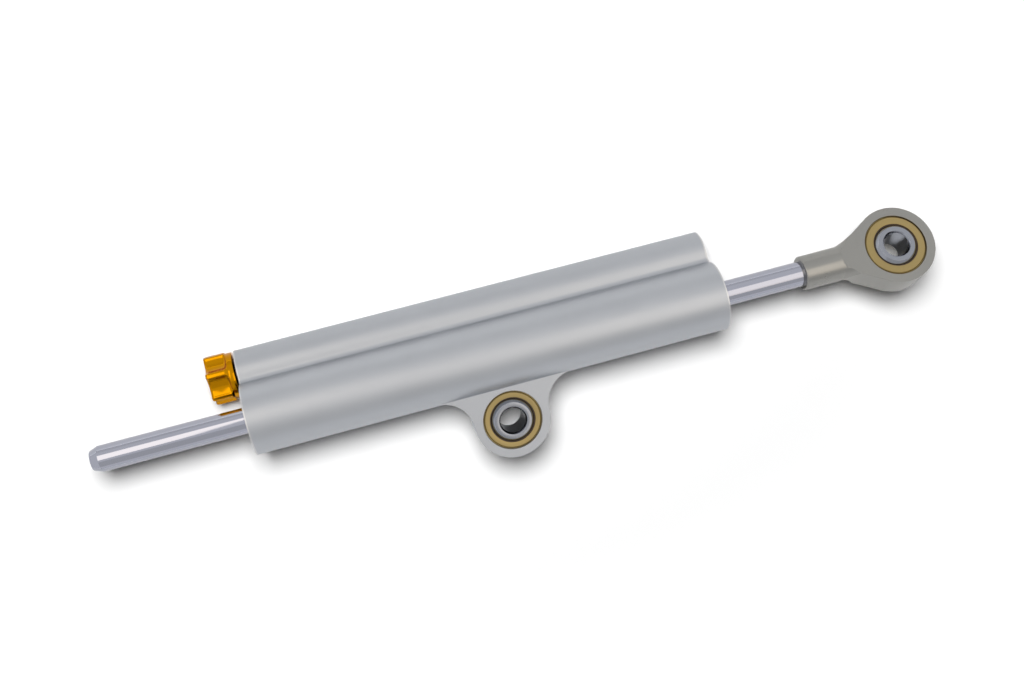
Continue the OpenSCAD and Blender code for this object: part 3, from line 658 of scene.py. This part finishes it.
def ball_outline():
    """Section of a ball: its bore with a chamfer at each mouth, and its round outside."""
    mouth = [(MOUTH_R, BALL_HALF, BORE_SOFT), (BORE_R, BALL_HALF - MOUTH_L, BORE_SOFT)]
    other_mouth = [(r, -z, soft) for r, z, soft in reversed(mouth)]
    crown = arc(BALL_R, BALL_HALF, CROWN_STEPS, -1, sizes().ball_edge / MM)
    return rounded(mouth + other_mouth + crown)


class DAMPER_OT_bearings(bpy.types.Operator):
    """Makes the races, liners and balls of the two spherical bearings"""
    bl_idname = "damper.bearings"
    bl_label = "Spherical bearings"

    def execute(self, context):
        lug_place, eye_place = placed(LUG_CENTRE), placed(EYE_CENTRE, EYE_ROLL)
        for side, host, place, race_r, race_finish, ball_finish in (
            ("lug", "body", lug_place, LUG_RACE_R, "race_bronze", "bearing_steel"),
            ("eye", "rod", eye_place, EYE_RACE_R, "race_bronze_eye", "ball_steel_eye"),
        ):
            for part, outline, body, finish, slot in (
                ("race", race_outline(race_r), host, race_finish, "race_bronze"),
                ("liner", liner_outline(), side + "_liner", "liner_ptfe", "liner_ptfe"),
                ("ball", ball_outline(), side + "_ball", ball_finish, "bearing_steel"),
            ):
                name = f"{side}_{part}"
                mesh = as_mesh(name, lathe(outline, place, BEARING_SIDES))
                nodes = [f"{side}_bearing_{part}"]
                finish_piece(name, mesh, body, finish, nodes, weighted=False)
        return {"FINISHED"}


def rule_tree(name, inputs):
    """An empty Geometry Nodes tree with named inputs, given as (name, socket kind)."""
    tree = bpy.data.node_groups.new(name, "GeometryNodeTree")
    for label, kind in (("Geometry", "NodeSocketGeometry"), *inputs):
        tree.interface.new_socket(label, in_out="INPUT", socket_type=kind)
    tree.interface.new_socket("Geometry", in_out="OUTPUT", socket_type="NodeSocketGeometry")
    return tree, add(tree, "NodeGroupInput").outputs


def close_tree(tree, geometry, material):
    """Ends a tree: instances are made real and get their finish."""
    real = add(tree, "GeometryNodeRealizeInstances", {"Geometry": geometry})
    dressed = add(
        tree, "GeometryNodeSetMaterial", {"Geometry": real.outputs[0], "Material": material}
    )
    add(tree, "NodeGroupOutput", {"Geometry": dressed.outputs[0]})


def grown(name, tree, values, mesh=None):
    """Runs a tree on a mesh and keeps the result as a plain mesh."""
    start = mesh or bpy.data.meshes.new(name + "_maker")
    maker = bpy.data.objects.new(name + "_maker", start)
    rule = maker.modifiers.new("rule", "NODES")
    rule.node_group = tree
    for item in tree.interface.items_tree:
        if item.item_type == "SOCKET" and item.name in values:
            rule[item.identifier] = values[item.name]
    bpy.context.scene.collection.objects.link(maker)
    bpy.context.view_layer.update()
    ready = maker.evaluated_get(bpy.context.evaluated_depsgraph_get())
    result = bpy.data.meshes.new_from_object(ready)
    result.name = name
    maker.modifiers.remove(rule)
    bpy.data.objects.remove(maker)
    return result


def scallop_tree():
    """Cuts finger scallops into a turned knob that lies along Z, and drills its grub screw's hole.

    The mesh carries "runout": how far a scallop's wall is lifted there, which ends the scallops."""
    tree, take = rule_tree("finger_scallops", [
        ("Scallops", "NodeSocketInt"), ("Core Radius", "NodeSocketFloat"),
        ("Scallop Radius", "NodeSocketFloat"), ("Ridge Rounding", "NodeSocketFloat"),
        ("Hole Radius", "NodeSocketFloat"), ("Hole Place", "NodeSocketVector"),
        ("Hole Turn", "NodeSocketRotation"), ("Finish", "NodeSocketMaterial"),
    ])
    here = add(tree, "GeometryNodeInputPosition").outputs[0]
    x, y, z = add(tree, "ShaderNodeSeparateXYZ", {0: here}).outputs
    lift = add(tree, "GeometryNodeInputNamedAttribute", {"Name": "runout"}, data_type="FLOAT")
    known = {"x": x, "y": y, "lift": lift.outputs[0]}
    known.update((label, take[label]) for label in (
        "Scallops", "Core Radius", "Scallop Radius", "Ridge Rounding", "Hole Radius",
    ))
    # Each line names a value and works it out from those above it. A scallop's wall is an arc
    # round an axis beside the knob, and a point moves in to that wall where it lies outside it.
    for label, operation, *values in (
        ("x squared", "MULTIPLY", "x", "x"),
        ("y squared", "MULTIPLY", "y", "y"),
        ("sum of squares", "ADD", "x squared", "y squared"),
        ("radius", "SQRT", "sum of squares"),
        ("half a scallop", "DIVIDE", math.pi, "Scallops"),
        ("minus half", "MULTIPLY", "half a scallop", -1),
        ("heading", "ARCTAN2", "y", "x"),
        ("turn", "WRAP", "heading", "half a scallop", "minus half"),
        ("axis radius", "ADD", "Core Radius", "Scallop Radius"),
        ("sine", "SINE", "turn"),
        ("aside", "MULTIPLY", "axis radius", "sine"),
        ("aside squared", "MULTIPLY", "aside", "aside"),
        ("scallop squared", "MULTIPLY", "Scallop Radius", "Scallop Radius"),
        ("difference", "SUBTRACT", "scallop squared", "aside squared"),
        ("not below nought", "MAXIMUM", "difference", 0),
        ("near side", "SQRT", "not below nought"),
        ("cosine", "COSINE", "turn"),
        ("axis ahead", "MULTIPLY", "axis radius", "cosine"),
        ("wall", "SUBTRACT", "axis ahead", "near side"),
        ("lifted wall", "ADD", "wall", "lift"),
        ("limit", "SMOOTH_MIN", "radius", "lifted wall", "Ridge Rounding"),
        ("safe radius", "MAXIMUM", "radius", 1e-6),
        ("scale", "DIVIDE", "limit", "safe radius"),
        ("new x", "MULTIPLY", "x", "scale"),
        ("new y", "MULTIPLY", "y", "scale"),
        ("drill length", "MULTIPLY", "Core Radius", DRILL_LENGTH),
    ):
        inputs = {i: known.get(value, value) for i, value in enumerate(values)}
        known[label] = add(tree, "ShaderNodeMath", inputs, operation=operation).outputs[0]
    moved = add(tree, "ShaderNodeCombineXYZ", {0: known["new x"], 1: known["new y"], 2: z})
    cut = add(
        tree, "GeometryNodeSetPosition",
        {"Geometry": take["Geometry"], "Position": moved.outputs[0]},
    )
    drill = add(
        tree, "GeometryNodeMeshCylinder",
        {"Vertices": HOLE_SIDES, "Radius": take["Hole Radius"], "Depth": known["drill length"]},
    )
    aimed = add(tree, "GeometryNodeTransform", {
        "Geometry": drill.outputs[0], "Translation": take["Hole Place"],
        "Rotation": take["Hole Turn"],
    })
    drilled = add(
        tree, "GeometryNodeMeshBoolean", {"Mesh 1": cut.outputs[0], "Mesh 2": aimed.outputs[0]},
        operation="DIFFERENCE", solver="EXACT",
    )
    close_tree(tree, drilled.outputs[0], take["Finish"])
    return tree


def knob_rings():
    """Rings of the knob's blank, from its bore over the flange and the ridges to its dished face.

    Each is (radius, place along the knob, lift of the scallops' walls) in millimetres."""
    kit = sizes()
    ridge, rim = kit.knob_diameter / 2 / MM, kit.flange_diameter / 2 / MM
    lip, end, edge = kit.scallop_lip / MM, kit.scallop_end / MM, kit.knob_edge / MM
    step = -KNOB_GAP - kit.flange_thickness / MM
    front = -KNOB_GAP - kit.knob_length / MM
    # A lift that takes the scallops' walls clear of the knob, where it stays round
    clear = 10
    # The one point between the ends of a broken edge, and of the dish's edge, in shares of it
    mid, dish_mid = 0.3, 0.25
    # The rim draws in a little just before the step up to the ridges
    draw_in, draw_at = 0.02, 0.4
    flange = [
        (KNOB_BORE_R, -KNOB_GAP), (rim - edge, -KNOB_GAP),
        (rim - mid * edge, -KNOB_GAP - mid * edge), (rim, -KNOB_GAP - edge),
        (rim, step + edge), (rim - draw_in, step + draw_at * edge),
    ]
    rings = [(r, z, clear) for r, z in flange]
    for k in range(RUNOUT_STEPS + 1):
        along = 1 - k / RUNOUT_STEPS
        risen = math.sin(math.pi / 2 * min(1, (1 - along) * RIDGE_RISE))
        lift = end * (1 - math.sqrt(1 - along ** 2))
        rings.append((rim + (ridge - rim) * risen, step - end * (1 - along), lift))
    rings.append((ridge, (step + front) / 2, 0))
    for k in range(LIP_STEPS + 1):
        turn = math.pi / 2 * k / LIP_STEPS
        drop = 1 - math.cos(turn)
        place = front + lip * (1 - math.sin(turn))
        rings.append((ridge - RIDGE_FALL * edge * drop, place, -SCALLOP_FALL * lip * drop))
    wall = ridge - kit.scallop_depth / MM - DISH_WALL
    dish = [
        (wall + DISH_EDGE, front), (wall + mid * DISH_EDGE, front + dish_mid * DISH_EDGE),
        (wall, front + DISH_EDGE), (wall, front + DISH_DEPTH), (KNOB_BORE_R, front + DISH_DEPTH),
    ]
    return rings + [(r, z, clear) for r, z in dish]


class DAMPER_OT_knob(bpy.types.Operator):
    """Makes the gold adjuster knob, with finger scallops that run out against its flange"""
    bl_idname = "damper.knob"
    bl_label = "Adjuster knob"

    def execute(self, context):
        kit = sizes()
        rings = knob_rings()
        blank = lathe([(r, z) for r, z, _ in rings], Matrix.Identity(4), KNOB_SIDES)
        runout = blank.verts.layers.float.new("runout")
        for i, vert in enumerate(blank.verts):
            vert[runout] = rings[i // KNOB_SIDES][2] * MM
        core = kit.knob_diameter / 2 - kit.scallop_depth
        middle = -KNOB_GAP * MM - kit.knob_length / 2
        turn = SCREW_SCALLOP * math.tau / kit.scallops
        aim = Vector((math.cos(turn), math.sin(turn), 0))
        values = {
            "Scallops": kit.scallops, "Core Radius": core, "Scallop Radius": kit.scallop_radius,
            "Ridge Rounding": kit.ridge_rounding, "Hole Radius": SCREW_HOLE_R * MM,
            # The drill's middle lies a millimetre outside the scallop's floor
            "Hole Place": aim * (core + MM) + Vector((0, 0, middle)),
            "Hole Turn": aim.to_track_quat("Z", "Y").to_euler(),
            "Finish": FINISHES["gold_anodised"],
        }
        mesh = grown("knob", scallop_tree(), values, as_mesh("knob_blank", blank))
        end = LOBE_AXIS + Vector((LEFT_END, 0, 0))
        mesh.transform(along_x(end) @ Matrix.Rotation(math.pi + KNOB_TURN, 4, "Z"))
        finish_piece(
            "knob", mesh, "knob", "gold_anodised", ["adjuster_knob"], angle=35
        )
        return {"FINISHED"}


def wire_tree():
    """Winds a wire into a spring along Z."""
    tree, take = rule_tree("wound_wire", [
        ("Coil Radius", "NodeSocketFloat"), ("Wire Radius", "NodeSocketFloat"),
        ("Height", "NodeSocketFloat"), ("Curls", "NodeSocketFloat"),
        ("Finish", "NodeSocketMaterial"),
    ])
    path = add(tree, "GeometryNodeCurveSpiral", {
        "Resolution": CURL_STEPS, "Rotations": take["Curls"], "Start Radius": take["Coil Radius"],
        "End Radius": take["Coil Radius"], "Height": take["Height"],
    })
    section = add(
        tree, "GeometryNodeCurvePrimitiveCircle",
        {"Resolution": WIRE_SIDES, "Radius": take["Wire Radius"]},
    )
    wire = add(tree, "GeometryNodeCurveToMesh", {
        "Curve": path.outputs[0], "Profile Curve": section.outputs[0], "Fill Caps": True,
    })
    close_tree(tree, wire.outputs[0], take["Finish"])
    return tree


class DAMPER_OT_springs(bpy.types.Operator):
    """Winds the detent spring and the spring behind the separating piston"""
    bl_idname = "damper.springs"
    bl_label = "Springs"

    def execute(self, context):
        tree = wire_tree()
        for name, node, wire_r in (
            ("detent_coil", "detent_spring", DETENT_WIRE_R * MM),
            ("reservoir_coil", "reservoir_spring", RESERVOIR_WIRE_R * MM),
        ):
            low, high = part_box(node)
            centre = (low + high) / 2
            values = {
                "Coil Radius": (high.z - low.z) / 2 - wire_r, "Wire Radius": wire_r,
                "Height": high.x - low.x - 2 * wire_r, "Curls": CURLS,
                "Finish": FINISHES["spring_steel"],
            }
            mesh = grown(name, tree, values)
            mesh.transform(along_x(Vector((low.x + wire_r, centre.y, centre.z)) / MM))
            piece = finish_piece(
                name, mesh, "body", "spring_steel", [node], angle=60,
                weighted=False,
            )
            if node == "reservoir_spring":
                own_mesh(piece)
        return {"FINISHED"}


# Studio

# The camera as it was fitted to the picture: focal length and picture width in pixels, its place
# in millimetres, and its axes
FOCAL_PIXELS, PICTURE_PIXELS = 1183.9, 1024
CAMERA_AT = Vector((-36.845, 99.720, 358.191))
CAMERA_RIGHT = Vector((0.96042, -0.22591, 0.16298))
CAMERA_DOWN = Vector((-0.2532, -0.95189, 0.17262))
CAMERA_AHEAD = Vector((0.11614, -0.20706, -0.97141))
SENSOR = 36

# The floor: its height in millimetres and its width in metres
FLOOR_AT, FLOOR_WIDTH = -18.15, 6.0
# Metal mirrors the floor at this share of its white, and at this share of its glow
MIRRORED_BOARD, MIRRORED_GLOW = 0.75, 0.5
# The floor glows from one oval on, and fully from a second: their stretch, and reaches in metres
GLOW_OVAL, GLOW_START, GLOW_FULL = (0.75, 1.5, 1), 0.09, 0.75

# How bright the surroundings are to matt surfaces, to metal and to the camera
FILL, MIRRORED, SEEN = 0.06, 0.8, 1
WHITE, WARM, COOL = (1, 1, 1), (1, 0.88, 0.73), (0.985, 0.99, 1)


def set_camera():
    """Sets the camera where the picture was taken from."""
    lens = bpy.data.cameras.new("camera")
    lens.sensor_width = SENSOR
    lens.lens = FOCAL_PIXELS / PICTURE_PIXELS * SENSOR
    lens.clip_start = 0.01
    camera = bpy.data.objects.new("camera", lens)
    turn = Matrix((CAMERA_RIGHT, -CAMERA_DOWN, -CAMERA_AHEAD)).transposed().to_4x4()
    camera.matrix_world = Matrix.Translation(CAMERA_AT * MM) @ turn
    bpy.context.scene.collection.objects.link(camera)
    bpy.context.scene.camera = camera


def studio_place(across, lean, distance):
    """Where a lamp stands, and how it faces the object.

    across is the share of its direction along X, lean its lean from upright towards +Y in degrees,
    and distance its distance from the barrel in metres."""
    rest = math.sqrt(1 - across ** 2)
    angle = math.radians(lean)
    aim = Vector((across, rest * math.sin(angle), rest * math.cos(angle)))
    side = Vector((1, 0, 0)) - aim * across
    side.normalize()
    turn = Matrix((side, aim.cross(side), aim)).transposed().to_4x4()
    return Matrix.Translation(aim * distance + BARREL_AXIS * MM) @ turn


def softbox(name, across, lean, distance, width, height, level, tilt=0):
    """A warm soft lamp that only metal mirrors, level times as bright as a white sheet.

    tilt turns it in its own plane, in degrees."""
    light = bpy.data.lights.new(name, "AREA")
    light.shape = "RECTANGLE"
    light.size, light.size_y = width, height
    light.energy = level * math.pi * width * height
    light.color = WARM
    box = bpy.data.objects.new(name, light)
    place = studio_place(across, lean, distance)
    box.matrix_world = place @ Matrix.Rotation(math.radians(tilt), 4, "Z")
    box.visible_diffuse = False
    box.visible_camera = False
    bpy.context.scene.collection.objects.link(box)


def key_lamp(place, radius, level):
    """The one lamp that lights matt surfaces and throws the floor's soft shadow.

    It stands beside the camera, and its light doesn't weaken with distance, so that the floor
    stays even. level is the brightness of a white sheet right under it."""
    light = bpy.data.lights.new("key_lamp", "POINT")
    light.energy = level * 4 * math.pi ** 2
    light.shadow_soft_size = radius
    light.use_nodes = True
    tree = light.node_tree
    tree.nodes.clear()
    steady = add(tree, "ShaderNodeLightFalloff", {"Strength": 1}).outputs["Constant"]
    glow = add(tree, "ShaderNodeEmission", {"Color": (*WHITE, 1), "Strength": steady})
    add(tree, "ShaderNodeOutputLight", {"Surface": glow.outputs[0]})
    key = bpy.data.objects.new("key_lamp", light)
    key.location = Vector(place) * MM
    key.visible_glossy = False
    key.visible_camera = False
    bpy.context.scene.collection.objects.link(key)


def flat_sheet(width, height, at=0.0):
    """The corners and the face of a level sheet."""
    corners = ((-1, -1), (1, -1), (1, 1), (-1, 1))
    return [(x * width / 2, y * height / 2, at) for x, y in corners], [], [(0, 1, 2, 3)]


def grey_card(name, across, lean, distance, width, height, level):
    """A dim sheet that only metal mirrors, which draws the darker bands along rod and barrel."""
    mesh = bpy.data.meshes.new(name)
    mesh.from_pydata(*flat_sheet(width, height))
    made, tree = new_finish(name)
    glow = add(tree, "ShaderNodeEmission", {"Color": (*WHITE, 1), "Strength": level})
    add(tree, "ShaderNodeOutputMaterial", {"Surface": glow.outputs[0]})
    mesh.materials.append(made)
    card = bpy.data.objects.new(name, mesh)
    card.matrix_world = studio_place(across, lean, distance)
    card.visible_camera = False
    card.visible_diffuse = False
    card.visible_transmission = False
    card.visible_shadow = False
    bpy.context.scene.collection.objects.link(card)


def set_world():
    """Sets the surroundings: dim to matt surfaces, pale to metal and white to the camera."""
    world = bpy.data.worlds.new("studio")
    bpy.context.scene.world = world
    world.use_nodes = True
    tree = world.node_tree
    tree.nodes.clear()
    ray = add(tree, "ShaderNodeLightPath").outputs
    fill, mirrored, seen = (
        add(tree, "ShaderNodeBackground", {"Color": (*tint, 1), "Strength": level}).outputs[0]
        for tint, level in ((WHITE, FILL), (COOL, MIRRORED), (WHITE, SEEN))
    )
    lit = add(tree, "ShaderNodeMixShader", {0: ray["Is Glossy Ray"], 1: fill, 2: mirrored})
    direct = add(
        tree, "ShaderNodeMath", {0: ray["Is Camera Ray"], 1: ray["Is Transmission Ray"]},
        operation="MAXIMUM",
    )
    both = add(tree, "ShaderNodeMixShader", {0: direct.outputs[0], 1: lit.outputs[0], 2: seen})
    add(tree, "ShaderNodeOutputWorld", {"Surface": both.outputs[0]})


def floor_finish():
    """Pale studio board: it takes the shadow, and is white where no shadow falls.

    Metal mirrors it as it is lit, a little dimmer. Away from the object it glows, which stands for
    the paper that curves up towards the lamps there."""
    made, tree = new_finish("studio_board")
    mirrored = add(tree, "ShaderNodeLightPath").outputs["Is Glossy Ray"]
    sheet = add(
        tree, "ShaderNodeMix",
        {
            "Factor": mirrored, "A": (*colours().floor, 1),
            "B": [MIRRORED_BOARD * c for c in colours().floor] + [1],
        },
        data_type="RGBA",
    )
    matt = add(tree, "ShaderNodeBsdfDiffuse", {"Color": sheet.outputs["Result"]})
    place = add(tree, "ShaderNodeTexCoord").outputs["Object"]
    oval = add(tree, "ShaderNodeVectorMath", {0: place, 1: GLOW_OVAL}, operation="MULTIPLY")
    away = add(tree, "ShaderNodeVectorMath", {0: oval.outputs["Vector"]}, operation="LENGTH")
    full = add(
        tree, "ShaderNodeMath", {0: mirrored, 1: MIRRORED_GLOW - 1, 2: 1},
        operation="MULTIPLY_ADD",
    )
    lift = add(
        tree, "ShaderNodeMapRange",
        {
            "Value": away.outputs["Value"], "From Min": GLOW_START, "From Max": GLOW_FULL,
            "To Min": 0, "To Max": full.outputs[0],
        },
    )
    glow = add(tree, "ShaderNodeEmission", {"Color": (*WHITE, 1), "Strength": lift.outputs[0]})
    lit = add(tree, "ShaderNodeAddShader", {0: matt.outputs[0], 1: glow.outputs[0]})
    add(tree, "ShaderNodeOutputMaterial", {"Surface": lit.outputs[0]})
    return made


class DAMPER_OT_stage(bpy.types.Operator):
    """Sets the floor, the soft lamps, the surroundings and the camera"""
    bl_idname = "damper.stage"
    bl_label = "Studio"

    def execute(self, context):
        floor = bpy.data.meshes.new("floor")
        floor.from_pydata(*flat_sheet(FLOOR_WIDTH, FLOOR_WIDTH, FLOOR_AT * MM))
        floor.materials.append(floor_finish())
        board = bpy.data.objects.new("floor", floor)
        context.scene.collection.objects.link(board)
        key_lamp(place=(-60, 235, 500), radius=0.108, level=1.1)
        softbox(
            "left_softbox", across=-0.375, lean=23, distance=2, width=0.84, height=1.34,
            level=1.2, tilt=-12,
        )
        softbox(
            "right_softbox", across=0.37, lean=1.5, distance=2, width=1.07, height=1.7,
            level=0.78,
        )
        grey_card(
            "lower_card", across=0, lean=-38, distance=2.2, width=4.4, height=1.96, level=0.6
        )
        grey_card(
            "upper_card", across=0, lean=80, distance=2.2, width=3.4, height=0.8, level=0.7
        )
        set_world()
        set_camera()
        context.scene.view_settings.view_transform = "Standard"
        return {"FINISHED"}


OPERATORS = (
    DAMPER_OT_inner_parts, DAMPER_OT_body, DAMPER_OT_rod, DAMPER_OT_eye, DAMPER_OT_bearings,
    DAMPER_OT_knob, DAMPER_OT_springs, DAMPER_OT_stage,
)


class DAMPER_PT_panel(bpy.types.Panel):
    """Lists the steps that build the damper, and its sizes and colours."""
    bl_idname = "DAMPER_PT_panel"
    bl_label = "Steering damper"
    bl_space_type = "VIEW_3D"
    bl_region_type = "UI"
    bl_category = "Damper"

    def draw(self, context):
        for operator in OPERATORS:
            self.layout.operator(operator.bl_idname)
        for group in (context.scene.damper_sizes, context.scene.damper_colours):
            column = self.layout.column()
            for name in group.__annotations__:
                column.prop(group, name)


CLASSES = (DamperSizes, DamperColours, *OPERATORS, DAMPER_PT_panel)


def register():
    """Registers the classes, and gives the scene its sizes and colours."""
    for one in CLASSES:
        bpy.utils.register_class(one)
    bpy.types.Scene.damper_sizes = bpy.props.PointerProperty(type=DamperSizes)
    bpy.types.Scene.damper_colours = bpy.props.PointerProperty(type=DamperColours)


def unregister():
    """Takes back what register does."""
    del bpy.types.Scene.damper_colours
    del bpy.types.Scene.damper_sizes
    for one in reversed(CLASSES):
        bpy.utils.unregister_class(one)


def main():
    """Builds the damper and its studio."""
    register()
    bpy.ops.damper.inner_parts()
    bpy.ops.damper.body()
    bpy.ops.damper.rod()
    bpy.ops.damper.eye()
    bpy.ops.damper.bearings()
    bpy.ops.damper.knob()
    bpy.ops.damper.springs()
    bpy.ops.damper.stage()


if __name__ == "__main__":
    main()
